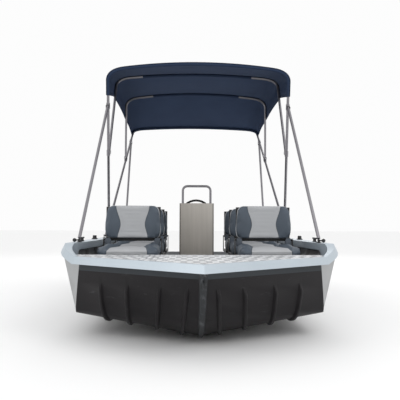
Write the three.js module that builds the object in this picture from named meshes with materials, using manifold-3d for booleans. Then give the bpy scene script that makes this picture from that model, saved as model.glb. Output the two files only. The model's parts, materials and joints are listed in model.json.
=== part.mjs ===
// Open aluminium fishing boat with a V bottom, folding seats, a centre console and a folding sun top.
// Millimetres. +Z up, the bow points along -Y, +X is the port side.
// The origin is on the centreline amidships, at the waterline.
import * as THREE from 'three';
import { mergeVertices } from 'three/addons/utils/BufferGeometryUtils.js';
import Module from 'manifold-3d';

const wasm = await Module();
wasm.setup();

// ---- Driving dimensions ----------------------------------------------------
const hullLength = 4750;
const hullBeam = 1990;
const draft = 95;             // waterline down to the underside of the keel bar
const plate = 5;              // hull plate
const seam = 0.3;             // gap kept between pieces that touch

const deckHeight = 458;       // top of the bow rail above the waterline
const gunwaleHeight = 540;    // top of the side gunwales
const railDepth = 50;
const railLean = 24;          // how far the rail's outer face leans in
const bowRailWidth = 45;
const gunwaleWidth = 140;
const shoulderWidth = 100;    // gunwale width where the foredeck ends
const gunwaleSetback = 1700;  // where the gunwale reaches its full width
const cornerSetback = 740;    // the bow's corner, measured aft of the tip
const cornerHalf = 868;
const rampSetback = 1000;     // where the gunwale reaches its full height
const deckSetback = 1050;     // rear edge of the foredeck

const chineHeight = 66;
const chineHalf = 865;
const edgeHalf = 830;         // upper corner of the bow plating
const edgeSetback = 800;
const turnSetback = 850;      // lower corner of the bow plating
const stemSetback = 130;
const forefootSetback = 900;
const sheerInset = 16;        // top of the side plates, in from the gunwale's edge
const ribHeight = 18;
const ribWidth = 34;
const ribShares = [[0.155, 0.10], [0.35, 0.30], [0.55, 0.565], [0.72, 0.80]];  // bottom, bow top
const keelBar = 12;
const keelBarWidth = 28;
const keelGap = 1.2;          // weld line between the bar and the plates
const stemBarWidth = 52;
const bowEye = { radius: 20, wire: 5, rise: 15 };

const transomThickness = 30;
const transomNotchHalf = 530;
const transomNotchHeight = 296;
const motorPad = { width: 420, height: 300, thickness: 12 };

const floorThickness = 4;
const floorHalf = 845;
const deckThickness = 4;
const deckDrop = 4;           // deck surface below the top of the rail
const bulkheadThickness = 4;

const tube = 25;              // outer diameter of the sun top's tubes
const jawOffset = 31;         // pin to tube axis in a jaw slide

const seatWidth = 470;
const seatCentre = 555;
const cushionDepth = 420;
const cushionThickness = 100;
const cushionTop = 506;
const backBottom = 564;
const backTop = 831;
const backThickness = 78;
const firstRowSetback = 1650; // front face of the first backrests
const rowPitch = 750;
const rowCount = 3;

const consoleWidth = 350;
const consoleDepth = 450;
const consoleHeight = 893;    // top of the console above the waterline
const consoleSetback = 2600;
const consoleWall = 5;
const wheelRadius = 163;      // steering wheel, to the middle of the rim
const rimRadius = 12;
const grabRailWidth = 310;
const grabRailTop = 1083;

const bowY = -hullLength / 2;
const sternY = hullLength / 2;
const aft = (setback) => bowY + setback;
const beamHalf = hullBeam / 2;
const sheerHalf = beamHalf - sheerInset;
const floorBottom = chineHeight + plate + seam;
const floorTop = floorBottom + floorThickness;
const plateTopHeight = deckHeight - railDepth - 4;   // upper edge of the bow plating

// ---- Materials -------------------------------------------------------------
const paint = (color, roughness, metalness) => new THREE.MeshStandardMaterial({ color, roughness, metalness });
const blackPaint = paint(0x26242a, 0.35, 0.1);
const greyPaint = paint(0xb4b6b8, 0.5, 0.2);
const bareAluminium = paint(0xbac4cf, 0.35, 0.8);
const treadPlate = paint(0xc8ccd0, 0.35, 0.9);
const darkLining = paint(0x2f3236, 0.9, 0);
const brushedMetal = paint(0x9a948a, 0.45, 0.7);
const tubeMetal = paint(0x7d7b80, 0.35, 0.8);
const blackPlastic = paint(0x17181a, 0.5, 0);
const seatFabric = paint(0x5a6470, 0.8, 0);
const navyCanvas = paint(0x2b3a58, 0.9, 0);

// ---- Geometry helpers ------------------------------------------------------
const vec = (x, y, z) => new THREE.Vector3(x, y, z);
const lerp = THREE.MathUtils.lerp;
const mirrored = (p) => vec(-p.x, p.y, p.z);
const steps = (count) => Array.from({ length: count + 1 }, (_, i) => i / count);

function signedVolume(positions, indices) {
  const [a, b, c] = [vec(), vec(), vec()];
  let volume = 0;
  for (let i = 0; i < indices.length; i += 3) {
    a.fromArray(positions, indices[i] * 3);
    b.fromArray(positions, indices[i + 1] * 3);
    c.fromArray(positions, indices[i + 2] * 3);
    volume += a.dot(b.cross(c)) / 6;
  }
  return volume;
}

function geometryFrom(positions, indices) {
  const facingIn = signedVolume(positions, indices) < 0;
  const geometry = new THREE.BufferGeometry();
  geometry.setAttribute('position', new THREE.Float32BufferAttribute(positions, 3));
  geometry.setIndex(facingIn ? [...indices].reverse() : [...indices]);
  return geometry;
}

// A closed solid between two grids of points with the same rows and columns.
function slab(outer, inner) {
  const rows = outer.length;
  const columns = outer[0].length;
  const positions = [...outer.flat(), ...inner.flat()].flatMap((p) => [p.x, p.y, p.z]);
  const at = (side, r, c) => side * rows * columns + r * columns + c;
  const indices = [];
  const quad = (a, b, c, d) => indices.push(a, b, c, a, c, d);
  for (let r = 0; r < rows - 1; r += 1) {
    for (let c = 0; c < columns - 1; c += 1) {
      quad(at(0, r, c), at(0, r, c + 1), at(0, r + 1, c + 1), at(0, r + 1, c));
      quad(at(1, r, c), at(1, r + 1, c), at(1, r + 1, c + 1), at(1, r, c + 1));
    }
    quad(at(0, r, 0), at(0, r + 1, 0), at(1, r + 1, 0), at(1, r, 0));
    const last = columns - 1;
    quad(at(0, r, last), at(1, r, last), at(1, r + 1, last), at(0, r + 1, last));
  }
  for (let c = 0; c < columns - 1; c += 1) {
    quad(at(0, 0, c), at(1, 0, c), at(1, 0, c + 1), at(0, 0, c + 1));
    const last = rows - 1;
    quad(at(0, last, c), at(0, last, c + 1), at(1, last, c + 1), at(1, last, c));
  }
  return geometryFrom(positions, indices);
}

// A closed solid through a list of convex outlines with the same number of points.
function loft(outlines) {
  const sides = outlines[0].length;
  const positions = outlines.flat().flatMap((p) => [p.x, p.y, p.z]);
  const indices = [];
  for (let r = 0; r < outlines.length - 1; r += 1) {
    for (let k = 0; k < sides; k += 1) {
      const next = (k + 1) % sides;
      const low = r * sides;
      const high = low + sides;
      indices.push(low + k, low + next, high + next, low + k, high + next, high + k);
    }
  }
  const end = (outlines.length - 1) * sides;
  for (let k = 1; k < sides - 1; k += 1) {
    indices.push(0, k + 1, k, end, end + k, end + k + 1);
  }
  return geometryFrom(positions, indices);
}

// A round bar along a path of points, with its section turned as little as possible on the way.
function bar(path, radius, sides = 8) {
  const tangents = path.map((_, i) => {
    const before = path[Math.max(i - 1, 0)];
    const after = path[Math.min(i + 1, path.length - 1)];
    return after.clone().sub(before).normalize();
  });
  const first = tangents[0];
  let normal = Math.abs(first.x) < 0.9 ? vec(1, 0, 0) : vec(0, 0, 1);
  const rings = path.map((point, i) => {
    normal = normal.clone().addScaledVector(tangents[i], -normal.dot(tangents[i])).normalize();
    const binormal = tangents[i].clone().cross(normal);
    return Array.from({ length: sides }, (_, k) => {
      const angle = (2 * Math.PI * (k + 0.5)) / sides;
      const ring = point.clone().addScaledVector(normal, radius * Math.cos(angle));
      return ring.addScaledVector(binormal, radius * Math.sin(angle));
    });
  });
  return loft(rings);
}

// A box from its low corner to its high corner.
function box(low, high) {
  const size = high.clone().sub(low);
  const geometry = new THREE.BoxGeometry(size.x, size.y, size.z);
  return geometry.translate(...low.clone().add(high).multiplyScalar(0.5).toArray());
}

// An outline in the plane across the boat (x, z), or along it (y, z), given some thickness.
function across(points, y, thickness) {
  const shape = new THREE.Shape(points.map(([x, z]) => new THREE.Vector2(x, z)));
  const geometry = new THREE.ExtrudeGeometry(shape, { depth: thickness, bevelEnabled: false });
  return geometry.rotateX(Math.PI / 2).translate(0, y + thickness, 0);
}

function along(points, x, thickness) {
  const shape = new THREE.Shape(points.map(([y, z]) => new THREE.Vector2(y, z)));
  const geometry = new THREE.ExtrudeGeometry(shape, { depth: thickness, bevelEnabled: false });
  const turn = new THREE.Matrix4().makeBasis(vec(0, 1, 0), vec(0, 0, 1), vec(1, 0, 0));
  return geometry.applyMatrix4(turn).translate(x, 0, 0);
}

// ---- Solids: join and cut --------------------------------------------------
function merge(geometry) {
  const bare = geometry.clone();
  bare.deleteAttribute('normal');
  bare.deleteAttribute('uv');
  return mergeVertices(bare, 1e-3);
}

function solid(geometry) {
  const merged = merge(geometry);
  const vertProperties = new Float32Array(merged.getAttribute('position').array);
  const triVerts = new Uint32Array(merged.index.array);
  return new wasm.Manifold(new wasm.Mesh({ numProp: 3, vertProperties, triVerts }));
}

function geometryOf(manifold) {
  const mesh = manifold.getMesh();
  return geometryFrom(Array.from(mesh.vertProperties), Array.from(mesh.triVerts));
}

const joined = (...geometries) => geometryOf(geometries.map(solid).reduce((a, b) => a.add(b)));
const cut = (geometry, ...tools) => geometryOf(tools.map(solid).reduce((a, b) => a.subtract(b), solid(geometry)));

function flipped(geometry) {
  const merged = merge(geometry);
  const positions = Array.from(merged.getAttribute('position').array, (value, i) => (i % 3 ? value : -value));
  return geometryFrom(positions, Array.from(merged.index.array));
}

const boat = new THREE.Group();
function piece(name, geometry, material) {
  const mesh = new THREE.Mesh(geometry, material);
  mesh.name = name;
  boat.add(mesh);
  return mesh;
}

// One piece on each side. The shape is made for the port side and flipped for the other.
function pair(name, geometry, material) {
  piece(`${name}_port`, geometry, material);
  piece(`${name}_starboard`, flipped(geometry), material);
}

// ---- Hull plating ----------------------------------------------------------
// The bottom is ruled between the keel line and the chine line. Both run down the bow and then aft.
const keelZ = -draft + keelBar;
const keelBow = new THREE.CubicBezierCurve3(
  vec(0, aft(stemSetback), plateTopHeight),
  vec(0, aft(lerp(stemSetback, forefootSetback, 0.26)), lerp(keelZ, plateTopHeight, 0.5)),
  vec(0, aft(lerp(stemSetback, forefootSetback, 0.5)), keelZ),
  vec(0, aft(forefootSetback), keelZ),
);
const chineBow = new THREE.CubicBezierCurve3(
  vec(edgeHalf, aft(edgeSetback), plateTopHeight),
  vec(chineHalf - 3, aft(turnSetback - 5), chineHeight + 25),
  vec(chineHalf, aft(turnSetback + 5), chineHeight - 22),
  vec(chineHalf, aft(turnSetback + 90), chineHeight),
);
const hullEnd = sternY - motorPad.thickness - transomThickness - 2 * seam;
const bowRows = steps(14);
const sternRows = steps(4).slice(1);
const keelLine = bowRows.map((t) => keelBow.getPoint(t));
const chineLine = bowRows.map((t) => chineBow.getPoint(t));
for (const t of sternRows) {
  keelLine.push(vec(0, lerp(keelBow.v3.y, hullEnd, t), keelZ));
  chineLine.push(vec(chineHalf, lerp(chineBow.v3.y, hullEnd, t), chineHeight));
}

const ribStart = 3;   // row at which the ribs begin below the rail

// Columns from the keel out to the chine: share of the width, and height above the plate.
function hullColumns(row) {
  const bowShare = THREE.MathUtils.clamp(1 - row / (bowRows.length - 1), 0, 1);
  const width = keelLine[row].distanceTo(chineLine[row]);
  const raised = row < ribStart ? 0 : ribHeight;
  const foot = ribWidth / 2 / width;
  const columns = [[0, 0]];
  for (const [bottomShare, topShare] of ribShares) {
    const middle = lerp(bottomShare, topShare, bowShare);
    columns.push([middle - foot, 0], [middle - foot * 0.55, raised], [middle + foot * 0.55, raised], [middle + foot, 0]);
  }
  return [...columns, [1, 0]];
}

function hullNormal(row, share) {
  const before = Math.max(row - 1, 0);
  const after = Math.min(row + 1, keelLine.length - 1);
  const low = keelLine[before].clone().lerp(chineLine[before], share);
  const high = keelLine[after].clone().lerp(chineLine[after], share);
  const ruling = chineLine[row].clone().sub(keelLine[row]);
  const normal = high.sub(low).cross(ruling).normalize();
  return normal.z > 0 || (row < 3 && normal.y > 0) ? normal.negate() : normal;
}

function hullPoint(row, share, lift) {
  const point = keelLine[row].clone().lerp(chineLine[row], share);
  const normal = hullNormal(row, share);
  if (share === 0) {
    const slope = Math.hypot(normal.y, normal.z);
    return point.add(vec(0, normal.y, normal.z).multiplyScalar(lift / slope / slope));
  }
  return point.addScaledVector(normal, lift);
}

function bothSides(half) {
  return [...half.slice(1).reverse().map(mirrored), ...half];
}

function hullBottom() {
  const outer = keelLine.map((_, row) => bothSides(hullColumns(row).map(([u, h]) => hullPoint(row, u, h))));
  const inner = keelLine.map((_, row) => bothSides(hullColumns(row).map(([u]) => hullPoint(row, u, -plate))));
  return slab(outer, inner);
}
piece('hull_bottom', hullBottom(), blackPaint);

// The stem and keel bar follows the keel line on the outside and fits the V of the plates.
function keelBarPiece() {
  const outlines = keelLine.map((point, row) => {
    const outward = hullNormal(row, 0).setX(0).normalize();
    const half = lerp(keelBarWidth, stemBarWidth, Math.max(0, 1 - row / (bowRows.length - 1))) / 2;
    const reach = half / chineLine[row].x;
    const face = point.clone().addScaledVector(outward, keelBar);
    const port = [hullPoint(row, reach, keelGap), vec(half * 0.8, face.y, face.z)];
    return [hullPoint(row, 0, keelGap), ...port, ...port.map(mirrored).reverse()];
  });
  const outward = hullNormal(1, 0).setX(0).normalize();
  const centre = keelLine[1].clone().addScaledVector(outward, keelBar + bowEye.rise);
  const eye = new THREE.TorusGeometry(bowEye.radius, bowEye.wire, 6, 16).rotateY(Math.PI / 2);
  return joined(loft(outlines), eye.translate(...centre.toArray()));
}
piece('stem_bar', keelBarPiece(), greyPaint);

// ---- Rails -----------------------------------------------------------------
const share = (value, from, to) => THREE.MathUtils.clamp((value - from) / (to - from), 0, 1);
const easeOut = (t) => Math.sin((t * Math.PI) / 2);
const railX = (setback) => lerp(cornerHalf, beamHalf, easeOut(share(setback, cornerSetback, rampSetback)));
const railZ = (setback) => lerp(deckHeight, gunwaleHeight, share(setback, cornerSetback, rampSetback));
const railWidth = (setback) => (setback <= deckSetback
  ? lerp(bowRailWidth, shoulderWidth, share(setback, cornerSetback, deckSetback))
  : lerp(shoulderWidth, gunwaleWidth, share(setback, deckSetback, gunwaleSetback)));

// The rail's outer lower edge from the tip to the stern, on the port side.
const coamingEnd = deckSetback + 60;
const coamingWall = 10;
const coamingLip = 3;
const deckBottom = deckHeight - deckDrop - deckThickness;
const coamingFoot = deckBottom - 10;   // the coaming beside the deck reaches just below it
const turnSteps = 5;                   // stations from the corner to the full beam
const turn = steps(turnSteps).map((t) => lerp(cornerSetback, rampSetback, t));
const railSetbacks = [...turn, deckSetback, coamingEnd, gunwaleSetback, hullLength];
const railPath = [vec(0, bowY, deckHeight), ...railSetbacks.map((s) => vec(railX(s), aft(s), railZ(s)))];

// Unit step towards the inside of the boat, lengthened where two runs meet at an angle.
const inward = railPath.map((point, i) => {
  const before = i === 0 ? mirrored(railPath[1]) : railPath[i - 1];
  const after = railPath[Math.min(i + 1, railPath.length - 1)];
  const normalOf = (a, b) => vec(a.y - b.y, b.x - a.x, 0).normalize();
  const first = normalOf(before, point);
  if (i === railPath.length - 1) return first;
  const second = normalOf(point, after);
  return first.clone().add(second).divideScalar(1 + first.dot(second));
});

// The section starts at the inner corner of its coaming, which sees every other corner.
function railOutline(i, coaming) {
  const { x, y, z } = railPath[i];
  const width = i === 0 ? bowRailWidth : railWidth(railSetbacks[i - 1]);
  const low = z - railDepth;
  const at = (distance, height) => vec(x, y, height).addScaledVector(inward[i], distance);
  const inner = width - coamingWall;
  return [at(inner, low), at(0, low), at(railLean, z), at(width, z), at(width, coaming), at(inner, coaming)];
}

function bowRail() {
  const coaming = deckHeight - railDepth - coamingLip;
  return loft([railOutline(1, coaming).map(mirrored), railOutline(0, coaming), railOutline(1, coaming)]);
}
piece('bow_rail', bowRail(), bareAluminium);

function gunwale() {
  const outlines = railPath.slice(1).map(({ y, z }, i) => {
    const low = y < aft(coamingEnd) ? Math.min(z - railDepth, coamingFoot) : z - railDepth;
    const shift = vec(0, i === 0 ? 2 * seam : 0, 0);
    return railOutline(i + 1, low - coamingLip).map((p) => p.add(shift));
  });
  return loft(outlines);
}
pair('gunwale', gunwale(), bareAluminium);

// ---- Side plates -----------------------------------------------------------
const sheerBlend = 900;                // setback where the side plate's top edge joins the gunwale's line
const edgeInset = railX(edgeSetback) - edgeHalf;
const sheerX = (setback) => railX(setback) - lerp(edgeInset, sheerInset, share(setback, edgeSetback, sheerBlend));
const sheerZ = (setback) => railZ(setback) - railDepth - 4;

const sideFoot = chineHeight + plate + 2 * seam;   // lower edge, just above the bottom plating

function sidePlate() {
  const levels = [0, 0.15, 0.3, 0.45, 0.6, 0.75];
  const setbacks = [sheerBlend, 950, rampSetback, 1060, 1240, 3000];
  const outer = levels.map((t) => {
    const front = chineBow.getPoint(t).add(vec(0, plate + 2, 0));
    const height = t === levels.at(-1) ? sideFoot : Math.max(front.z, sideFoot);
    const up = share(height, chineHeight, plateTopHeight);
    const points = [...setbacks.map(aft), hullEnd].map((y) => {
      const setback = y - bowY;
      const z = height === sideFoot ? sideFoot : lerp(chineHeight, sheerZ(setback), up);
      return vec(lerp(chineHalf, sheerX(setback), up), y, z);
    });
    return [front.setZ(height), ...points];
  });
  const inner = outer.map((row) => row.map((p) => p.clone().add(vec(-plate, 0, 0))));
  return slab(outer, inner);
}
pair('side_plate', sidePlate(), greyPaint);

// ---- Foredeck, bulkhead and floor ------------------------------------------
function foredeck() {
  const rim = railPath.slice(0, 2 + railSetbacks.indexOf(deckSetback)).map((point, i) => {
    const width = i === 0 ? bowRailWidth : railWidth(railSetbacks[i - 1]);
    return point.clone().addScaledVector(inward[i], width + 2 * seam);
  });
  const outline = [...rim.slice(1).reverse().map(mirrored), ...rim];
  const shape = new THREE.Shape(outline.map((p) => new THREE.Vector2(p.x, p.y)));
  const geometry = new THREE.ExtrudeGeometry(shape, { depth: deckThickness, bevelEnabled: false });
  return geometry.translate(0, 0, deckBottom);
}
piece('foredeck', foredeck(), treadPlate);

function foredeckBulkhead() {
  const y = aft(deckSetback) - bulkheadThickness - 10;
  const skirtZ = coamingFoot - coamingLip - 2 * seam;
  const openingHalf = railX(deckSetback) - shoulderWidth - 12;
  const half = [
    [floorHalf + 5, floorTop + seam],
    [floorHalf + 20, skirtZ],
    [openingHalf, skirtZ],
    [openingHalf, deckBottom - seam],
  ];
  return across([...half, ...half.map(([x, z]) => [-x, z]).reverse()], y, bulkheadThickness);
}
piece('foredeck_bulkhead', foredeckBulkhead(), darkLining);

const floorPlate = box(vec(-floorHalf, aft(deckSetback - 16), floorBottom), vec(floorHalf, hullEnd - 1, floorTop));
piece('cockpit_floor', floorPlate, darkLining);

// ---- Frames inside the side plates, with the rail of the side pockets ------
const frame = { depth: 28, width: 25, first: 1300, pitch: 440, count: 8, gap: 2 };

function sideFrames() {
  const topZ = sheerZ(hullLength);
  const bottomZ = floorTop + seam;
  const skin = (z) => lerp(chineHalf, sheerHalf, share(z, chineHeight, sheerZ(hullLength))) - plate - frame.gap;
  const outline = (z0, z1, depth, shift) => [
    [skin(z0) - shift, z0], [skin(z1) - shift, z1], [skin(z1) - shift - depth, z1], [skin(z0) - shift - depth, z0]];
  const posts = Array.from({ length: frame.count }, (_, i) => (
    across(outline(bottomZ, topZ, frame.depth, 0), aft(frame.first + i * frame.pitch), frame.width)));
  const run = (frame.count - 1) * frame.pitch + frame.width;
  const rail = across(outline(250, 290, 14, frame.depth - 6), aft(frame.first), run);
  return joined(rail, ...posts);
}
pair('side_frames', sideFrames(), brushedMetal);

// ---- Transom ---------------------------------------------------------------
const transomFront = hullEnd + seam;

function transom() {
  const topZ = sheerZ(hullLength);
  const half = [
    [0, keelZ],
    [chineHalf, chineHeight],
    [sheerHalf, topZ],
    [transomNotchHalf + 120, topZ],
    [transomNotchHalf, transomNotchHeight],
  ];
  const outline = [...half, ...half.slice(1).map(([x, z]) => [-x, z]).reverse()];
  return across(outline, transomFront, transomThickness);
}
piece('transom', transom(), greyPaint);

const padLow = transomNotchHeight - motorPad.height - 6;
const padFront = transomFront + transomThickness + seam;
piece('motor_pad', box(
  vec(-motorPad.width / 2, padFront, padLow),
  vec(motorPad.width / 2, sternY, padLow + motorPad.height),
), bareAluminium);

// ---- Console, grab rail and steering wheel ---------------------------------
const consoleFront = aft(consoleSetback);
const dashTilt = THREE.MathUtils.degToRad(20);
const dashTop = consoleFront + 0.7 * consoleDepth;
const dashFoot = consoleFront + consoleDepth - 25;
const dashNormal = vec(0, Math.cos(dashTilt), Math.sin(dashTilt));
const helmBoss = { radius: 45, height: 15, up: 753 };

function consoleProfile(wall, bottom) {
  const dashDrop = (dashFoot - dashTop) / Math.tan(dashTilt);
  return [
    [consoleFront + wall, bottom],
    [dashFoot - wall, bottom],
    [dashFoot - wall, consoleHeight - dashDrop - wall],
    [dashTop - wall, consoleHeight - wall],
    [consoleFront + 15 + wall, consoleHeight - wall],
  ];
}

const helmCentre = vec(0, dashTop + (consoleHeight - helmBoss.up) * Math.tan(dashTilt), helmBoss.up);
const toDash = new THREE.Matrix4().makeRotationX(dashTilt - Math.PI / 2);

function consoleBox() {
  const half = consoleWidth / 2;
  const shell = along(consoleProfile(0, floorTop + seam), -half, consoleWidth);
  const inside = along(consoleProfile(consoleWall, floorTop - 20), -half + consoleWall, consoleWidth - 2 * consoleWall);
  const locker = box(vec(-120, dashFoot - 20, 150), vec(120, dashFoot + 20, 520));
  const boss = new THREE.CylinderGeometry(helmBoss.radius, helmBoss.radius, helmBoss.height + 2, 20)
    .rotateX(Math.PI / 2).translate(0, 0, helmBoss.height / 2 - 1)
    .applyMatrix4(toDash).translate(...helmCentre.toArray());
  return joined(cut(shell, inside, locker), boss);
}
piece('console', consoleBox(), brushedMetal);

function arcPoints(centre, radius, from, to, count, plane) {
  return steps(count).map((t) => {
    const angle = lerp(from, to, t);
    return plane(centre[0] + radius * Math.cos(angle), centre[1] + radius * Math.sin(angle));
  });
}

function consoleGrabRail() {
  const half = (grabRailWidth - tube) / 2;
  const bend = 45;
  const top = grabRailTop - tube / 2;
  const plane = (x, z) => vec(x, consoleFront + 60, z);
  const corner = arcPoints([half - bend, top - bend], bend, 0, Math.PI / 2, 4, plane);
  const port = [plane(half, consoleHeight + seam), ...corner];
  return bar([...port, ...port.map(mirrored).reverse()], tube / 2);
}
piece('console_grab_rail', consoleGrabRail(), tubeMetal);

const wheelStandoff = 95;   // dash to the middle of the rim
function steeringWheel() {
  const rim = new THREE.TorusGeometry(wheelRadius, rimRadius, 8, 32);
  const shaftStart = helmBoss.height + 1 - wheelStandoff;
  const shaft = new THREE.CylinderGeometry(16, 16, 10 - shaftStart, 12)
    .rotateX(Math.PI / 2).translate(0, 0, (10 + shaftStart) / 2);
  const hub = new THREE.CylinderGeometry(34, 34, 18, 16).rotateX(Math.PI / 2);
  const spokes = [0.5, 7 / 6, 11 / 6].map((turn) => (
    new THREE.BoxGeometry(wheelRadius, 28, 6).translate(wheelRadius / 2, 0, 0).rotateZ(turn * Math.PI)));
  const centre = helmCentre.clone().addScaledVector(dashNormal, wheelStandoff);
  return joined(rim, hub, shaft, ...spokes).applyMatrix4(toDash).translate(...centre.toArray());
}
piece('steering_wheel', steeringWheel(), blackPlastic);

// ---- Seats: pedestal and pan, cushion, folding back ------------------------
const backHinge = { behind: 35, below: 17 };   // pin, behind the backrest's face and below its foot
const bracket = { gap: 6, thickness: 6, reach: 60 };
const lug = { thickness: 6, inset: 3, half: 12 };
const shellThickness = 12;
const panThickness = 26;

function seatBase(x, y) {
  const panTop = cushionTop - cushionThickness - seam;
  const panBottom = panTop - panThickness;
  const foot = floorTop + seam;
  const outer = seatWidth / 2 + bracket.gap + bracket.thickness;
  const hingeZ = backBottom - backHinge.below;
  const flange = new THREE.CylinderGeometry(115, 115, 8, 24).rotateX(Math.PI / 2).translate(x, y - 170, foot + 4);
  const post = new THREE.CylinderGeometry(36, 36, panBottom - foot, 16)
    .rotateX(Math.PI / 2).translate(x, y - 170, (panBottom + foot) / 2 + 1);
  const pan = box(vec(x - outer, y - cushionDepth + 20, panBottom), vec(x + outer, y + bracket.reach, panTop));
  const outline = [[y - 30, panTop - 5], [y + bracket.reach, panTop - 5], [y + bracket.reach, hingeZ], [y + 45, hingeZ + 10],
    [y + 22, hingeZ + 10], [y + 5, hingeZ]];
  const plates = [-outer, outer - bracket.thickness].map((side) => along(outline, x + side, bracket.thickness));
  const pinLength = bracket.gap + lug.inset + bracket.thickness - 1;
  const pins = [-1, 1].map((side) => (
    new THREE.CylinderGeometry(8, 8, pinLength, 10).rotateZ(Math.PI / 2)
      .translate(x + side * (outer - pinLength / 2), y + backHinge.behind, hingeZ)));
  return joined(flange, post, pan, ...plates, ...pins);
}

function seatCushion(x, y) {
  const half = seatWidth / 2;
  return box(vec(x - half, y - cushionDepth - 8, cushionTop - cushionThickness), vec(x + half, y - 8, cushionTop));
}

function seatBackShell(x, y) {
  const half = seatWidth / 2 - lug.inset;
  const face = y + backThickness + seam;
  const hingeZ = backBottom - backHinge.below;
  const panel = box(vec(x - half, face, hingeZ - lug.half), vec(x + half, face + shellThickness, backTop - 6));
  const lugs = [-half, half - lug.thickness].map((side) => (
    box(vec(x + side, y + backHinge.behind - lug.half, hingeZ - lug.half),
      vec(x + side + lug.thickness, face + shellThickness, hingeZ + lug.half))));
  return joined(panel, ...lugs);
}

function seatBackCushion(x, y) {
  const half = seatWidth / 2;
  return box(vec(x - half, y, backBottom), vec(x + half, y + backThickness, backTop));
}

for (let row = 1; row <= rowCount; row += 1) {
  const y = aft(firstRowSetback + (row - 1) * rowPitch);
  for (const [side, x] of [['port', seatCentre], ['starboard', -seatCentre]]) {
    const seat = `seat_${row}_${side}`;
    piece(`${seat}_base`, seatBase(x, y), blackPlastic);
    piece(`${seat}_cushion`, seatCushion(x, y), seatFabric);
    piece(`${seat}_back_shell`, seatBackShell(x, y), blackPlastic);
    piece(`${seat}_back_cushion`, seatBackCushion(x, y), seatFabric);
  }
}

// ---- Fittings on the gunwales ----------------------------------------------
const onGunwale = gunwaleHeight + seam;

function cleat(x, y) {
  const foot = box(vec(x - 11, y - 30, onGunwale), vec(x + 11, y + 30, onGunwale + 6));
  const posts = [-18, 18].map((dy) => box(vec(x - 7, y + dy - 7, onGunwale + 5), vec(x + 7, y + dy + 7, onGunwale + 26)));
  const horn = bar([vec(x, y - 60, onGunwale + 28), vec(x, y + 60, onGunwale + 28)], 7, 8);
  return joined(foot, ...posts, horn);
}
pair('cleat', cleat(beamHalf - 65, aft(1420)), greyPaint);

function rodHolder(x, y) {
  const collar = new THREE.CylinderGeometry(26, 28, 8, 20).rotateX(Math.PI / 2).translate(x, y, onGunwale + 4);
  const cap = new THREE.CylinderGeometry(17, 19, 28, 16).rotateX(Math.PI / 2).translate(x, y, onGunwale + 20);
  return joined(collar, cap);
}
pair('rod_holder', rodHolder(beamHalf - 54, aft(2060)), blackPlastic);

// ---- Sun top ---------------------------------------------------------------
// Each bow lies in a plane through a pin that runs across the boat. A point on it has a distance
// from that pin, along the plane, and a distance from the centreline.
const shoulder = { run: 150, drop: 112, archRise: 42 };
const cornerSteps = 5;
const pinRise = 22;                    // deck hinge pin above the gunwale
const deckHingeSetback = 2440;
const mainPin = { y: aft(deckHingeSetback), z: gunwaleHeight + pinRise };

class Bow {
  constructor(pin, crown, footX, shoulderX) {
    const [dy, dz] = [crown.y - pin.y, crown.z - pin.z];
    this.pin = pin;
    this.length = Math.hypot(dy, dz);
    this.up = vec(0, dy, dz).divideScalar(this.length);
    this.side = vec(0, -this.up.z, this.up.y);   // square to the plane, towards the bow of the boat
    this.footX = footX;
    this.shoulderX = shoulderX;
    this.shoulderAt = this.length - shoulder.archRise - shoulder.drop;
  }

  at(x, distance, offset = 0) {
    return vec(x, this.pin.y, this.pin.z).addScaledVector(this.up, distance).addScaledVector(this.side, offset);
  }

  legX(distance) {
    return lerp(this.footX, this.shoulderX, distance / this.shoulderAt);
  }

  onLeg(distance, offset = 0) {
    return this.at(this.legX(distance), distance, offset);
  }

  distanceAtHeight(z) {
    return (z - this.pin.z) / this.up.z;
  }

  // Port half from the given distance on the leg, round the corner and over to the crown.
  half(start) {
    const inner = this.shoulderX - shoulder.run;
    const archFoot = this.length - shoulder.archRise;
    const slope = (2 * shoulder.archRise) / inner;
    const corner = new THREE.QuadraticBezierCurve(
      new THREE.Vector2(this.shoulderX, this.shoulderAt),
      new THREE.Vector2(this.shoulderX, archFoot - slope * shoulder.run),
      new THREE.Vector2(inner, archFoot),
    );
    const arch = new THREE.QuadraticBezierCurve(
      new THREE.Vector2(inner, archFoot),
      new THREE.Vector2(inner / 2, this.length),
      new THREE.Vector2(0, this.length),
    );
    const flat = [...corner.getPoints(cornerSteps), ...arch.getPoints(4).slice(1)];
    return [this.onLeg(start), ...flat.map((p) => this.at(p.x, p.y))];
  }

  tube() {
    const half = this.half(0);
    return bar([...half, ...half.slice(0, -1).map(mirrored).reverse()], tube / 2);
  }
}

const frontBow = new Bow(mainPin, { y: aft(1780), z: 2084 }, 866, 803);
const rearBow = new Bow(mainPin, { y: aft(4180), z: 1949 }, 898, 806);

// A pin held beside a leg, on its forward side (+1) or its after side (-1).
const besideLeg = (bow, distance, way) => {
  const { y, z } = bow.onLeg(distance, way * jawOffset);
  return { y, z };
};
const secondJaw = 846;
const thirdJaw = 1423;
const frontStrutJaw = 1285;
const rearStrutJaw = 1875;
const secondBow = new Bow(besideLeg(frontBow, secondJaw, -1), { y: aft(2580), z: 2209 }, 829, 818);
const thirdBow = new Bow(besideLeg(rearBow, thirdJaw, 1), { y: aft(3380), z: 2200 }, 835, 820);

const jaw = { radius: 17, half: 26, cheek: 3, gap: 0.7, reach: 12 };

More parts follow.
